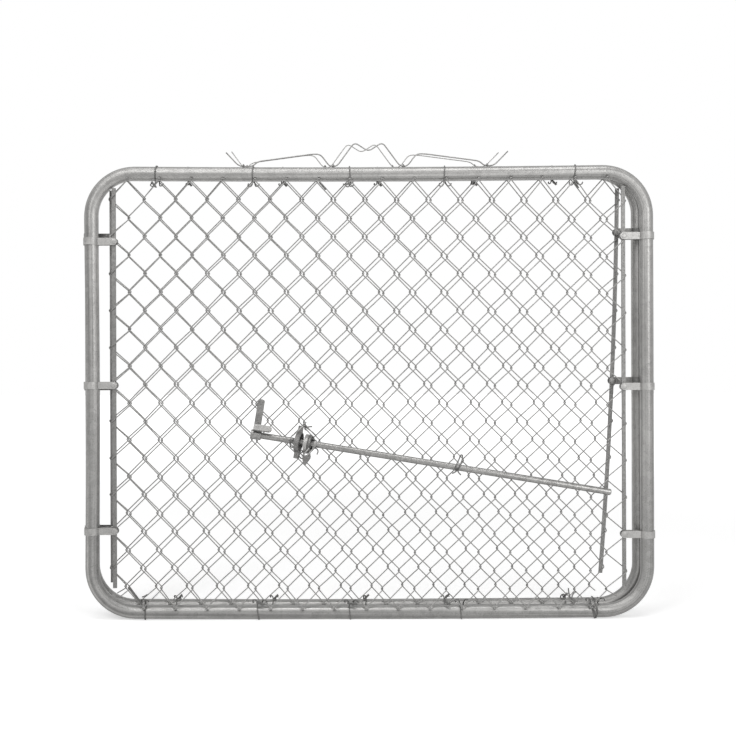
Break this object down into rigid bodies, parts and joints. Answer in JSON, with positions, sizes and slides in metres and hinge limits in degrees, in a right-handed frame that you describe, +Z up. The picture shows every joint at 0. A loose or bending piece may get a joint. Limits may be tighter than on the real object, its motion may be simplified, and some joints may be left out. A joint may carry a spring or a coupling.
{
  "type": "chain-link driveway gate",
  "caption": "Chain-link driveway gate as supplied: round-cornered tube leaves with woven wire, flat bars, bands and wire crowns, stacked, with drop rod and hinge straps on the front.",
  "frame": {"origin": "on the flat back face of the rear leaf's left middle band cheek, midway between the tube and the bar bolt", "axes": "+X along the gate to the right as seen from the front, +Y from the front leaf to the back, +Z up"},
  "size_m": [1.4494, 0.1135, 1.2141],
  "materials": {
    "zinc_tube": "dull galvanised",
    "zinc_wire": "dull galvanised",
    "zinc_strap": "dull galvanised",
    "zinc_rod": "rough galvanised, grimy"
  },
  "bodies": {
    "root": {"front_frame": "zinc_tube", "rear_frame": "zinc_tube", "front_fabric": "zinc_wire", "rear_fabric": "zinc_wire", "front_crown": "zinc_wire", "rear_crown": "zinc_wire", "front_left_bar": "zinc_strap", "front_right_bar": "zinc_strap", "rear_left_bar": "zinc_strap", "rear_right_bar": "zinc_strap", "front_left_top_band": "zinc_strap", "front_left_middle_band": "zinc_strap", "front_left_bottom_band": "zinc_strap", "front_right_top_band": "zinc_strap", "front_right_middle_band": "zinc_strap", "front_right_bottom_band": "zinc_strap", "rear_left_top_band": "zinc_strap", "rear_left_middle_band": "zinc_strap", "rear_left_bottom_band": "zinc_strap", "rear_right_top_band": "zinc_strap", "rear_right_middle_band": "zinc_strap", "post_clamp": "zinc_strap", "frame_clamp": "zinc_strap", "hinge_lug": "zinc_strap", "guide_ring": "zinc_strap", "drop_rod": "zinc_rod", "rod_collar": "zinc_rod", "rod_handle": "zinc_rod", "rod_latch_plate": "zinc_rod"}
  },
  "joints": []
}
